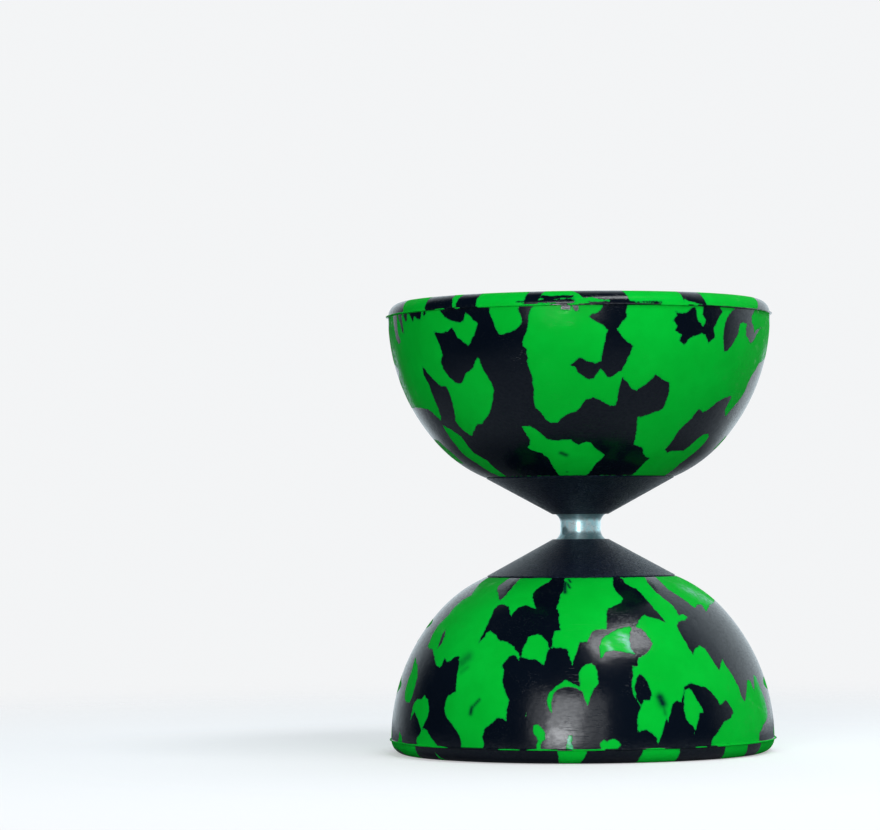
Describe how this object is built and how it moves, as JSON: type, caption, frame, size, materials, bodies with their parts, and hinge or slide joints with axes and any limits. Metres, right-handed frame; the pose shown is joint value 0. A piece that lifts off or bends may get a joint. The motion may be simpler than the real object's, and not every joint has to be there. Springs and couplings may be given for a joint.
{
  "type": "diabolo",
  "caption": "Juggling diabolo: domed green and black marbled rubber cups clamped back to back by black hub cones on a fixed steel axle with a waisted spool for the string.",
  "frame": {"origin": "centre of the ring that the lower cup's rim stands on, on the axle's line", "axes": "+Z along the axle, from the lower cup to the upper cup; +X to the right and +Y away from the viewer"},
  "size_m": [0.1258, 0.1258, 0.1458],
  "materials": {
    "cup_rubber": "smooth moulded rubber, bright green marbled with blue-black, semi-gloss",
    "hub_nylon": "satin black moulded nylon with a fine grain",
    "plate_nylon": "satin black moulded nylon",
    "polished_steel": "polished turned steel with fine string wear",
    "zinc_plated_steel": "bright zinc plate",
    "insert_nylon": "natural white nylon"
  },
  "bodies": {
    "root": {"axle_spool": "polished_steel", "axle_rod": "zinc_plated_steel", "upper_hub_cone": "hub_nylon", "lower_hub_cone": "hub_nylon", "upper_cup": "cup_rubber", "lower_cup": "cup_rubber", "upper_clamp_plate": "plate_nylon", "lower_clamp_plate": "plate_nylon", "upper_washer": "zinc_plated_steel", "lower_washer": "zinc_plated_steel", "upper_locknut": "zinc_plated_steel", "lower_locknut": "zinc_plated_steel", "upper_nut_insert": "insert_nylon", "lower_nut_insert": "insert_nylon"}
  },
  "joints": []
}
